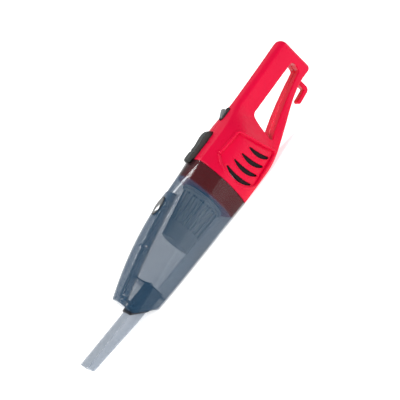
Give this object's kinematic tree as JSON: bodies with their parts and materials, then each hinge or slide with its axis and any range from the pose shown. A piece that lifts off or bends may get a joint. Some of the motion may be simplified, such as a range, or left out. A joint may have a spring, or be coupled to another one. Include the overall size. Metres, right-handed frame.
{
  "type": "handheld vacuum cleaner",
  "caption": "Corded handheld vacuum with a loop handle, cord hook, slide switch, clear pull-off dust cup, pleated filter, fan motor and a push-in crevice tool.",
  "frame": {"origin": "middle of the footprint, on the surface that the flat underside rests on", "axes": "+X from the crevice tool's tip to the end of the handle, +Z from the flat underside to the side with the switch and the cup lever, Y across the body"},
  "size_m": [0.5995, 0.097, 0.1217],
  "materials": {
    "red": "glossy",
    "smoke": "clear tinted",
    "dark_smoke": "clear tinted",
    "graphite": "fine texture",
    "grey": "satin",
    "black": "satin",
    "silver": "satin",
    "steel": "turned",
    "copper": "bright",
    "rubber": "matte",
    "foam": "open cell",
    "pleats": "pleated",
    "basket": "satin"
  },
  "bodies": {
    "housing": {"housing_left": "red", "housing_right": "red", "shell_screws": "steel", "cord_bush": "rubber", "cord_hook": "red", "switch_bezel": "black", "switch_body": "black", "lever_pin": "steel", "lever_spring": "steel", "front_mount": "rubber", "fan_shroud": "steel", "front_bearing": "steel", "rear_bearing": "steel", "stator": "copper", "motor_frame": "steel", "brushes": "black", "rear_mount": "rubber", "exhaust_foam": "foam", "collar": "red", "cup_seal": "rubber", "intake_grille": "black"},
    "fan": {"rotor": "steel", "impeller": "steel"},
    "switch": {"switch_slider": "grey"},
    "lever": {"release_lever": "graphite"},
    "filter": {"filter_basket": "basket", "pleated_filter": "pleats"},
    "cup": {"dust_cup": "smoke", "ridge_cover": "smoke", "button_surround": "black", "button_spring": "steel", "inlet_neck": "dark_smoke", "flap_pin": "steel", "link_pin": "steel"},
    "button": {"tool_button": "silver"},
    "latch": {"latch_link": "grey"},
    "flap": {"inlet_flap": "rubber"},
    "tool": {"crevice_tool": "smoke"}
  },
  "joints": [
    {"name": "fan_spin", "type": "hinge", "parent": "housing", "child": "fan", "pos_m": [0.1, 0, 0.052], "axis": [1, 0, 0], "continuous": true},
    {"name": "switch_slide", "type": "slide", "parent": "housing", "child": "switch", "axis": [0.998, 0, 0.063], "range_m": [0, 0.005]},
    {"name": "lever_press", "type": "hinge", "parent": "housing", "child": "lever", "pos_m": [0.076, 0, 0.103], "axis": [0, 1, 0], "range_deg": [0, 5], "stiffness_Nm_per_rad": 0.4, "springref_deg": -5.73, "deforming": ["lever_spring"]},
    {"name": "cup_pull", "type": "slide", "parent": "housing", "child": "cup", "axis": [-1, 0, 0], "range_m": [0, 0.15]},
    {"name": "filter_pull", "type": "slide", "parent": "housing", "child": "filter", "axis": [-1, 0, 0], "range_m": [0, 0.012]},
    {"name": "button_press", "type": "slide", "parent": "cup", "child": "button", "axis": [0.1157, 0, -0.9933], "range_m": [0, 0.002], "stiffness_N_per_m": 600, "springref_m": -0.002, "deforming": ["button_spring"]},
    {"name": "latch_rock", "type": "hinge", "parent": "cup", "child": "latch", "pos_m": [-0.1, 0, 0.0762], "axis": [0, 1, 0], "range_deg": [0, 2.1]},
    {"name": "flap_swing", "type": "hinge", "parent": "cup", "child": "flap", "pos_m": [-0.1391, 0, 0.0316], "axis": [0, -1, 0], "range_deg": [0, 60]},
    {"name": "tool_pull", "type": "slide", "parent": "cup", "child": "tool", "axis": [-1, 0, 0], "range_m": [0, 0.05]}
  ],
  "couplings": [
    {"joint": "latch_rock", "follows": "button_press", "rad_per_m": 17.5}
  ]
}
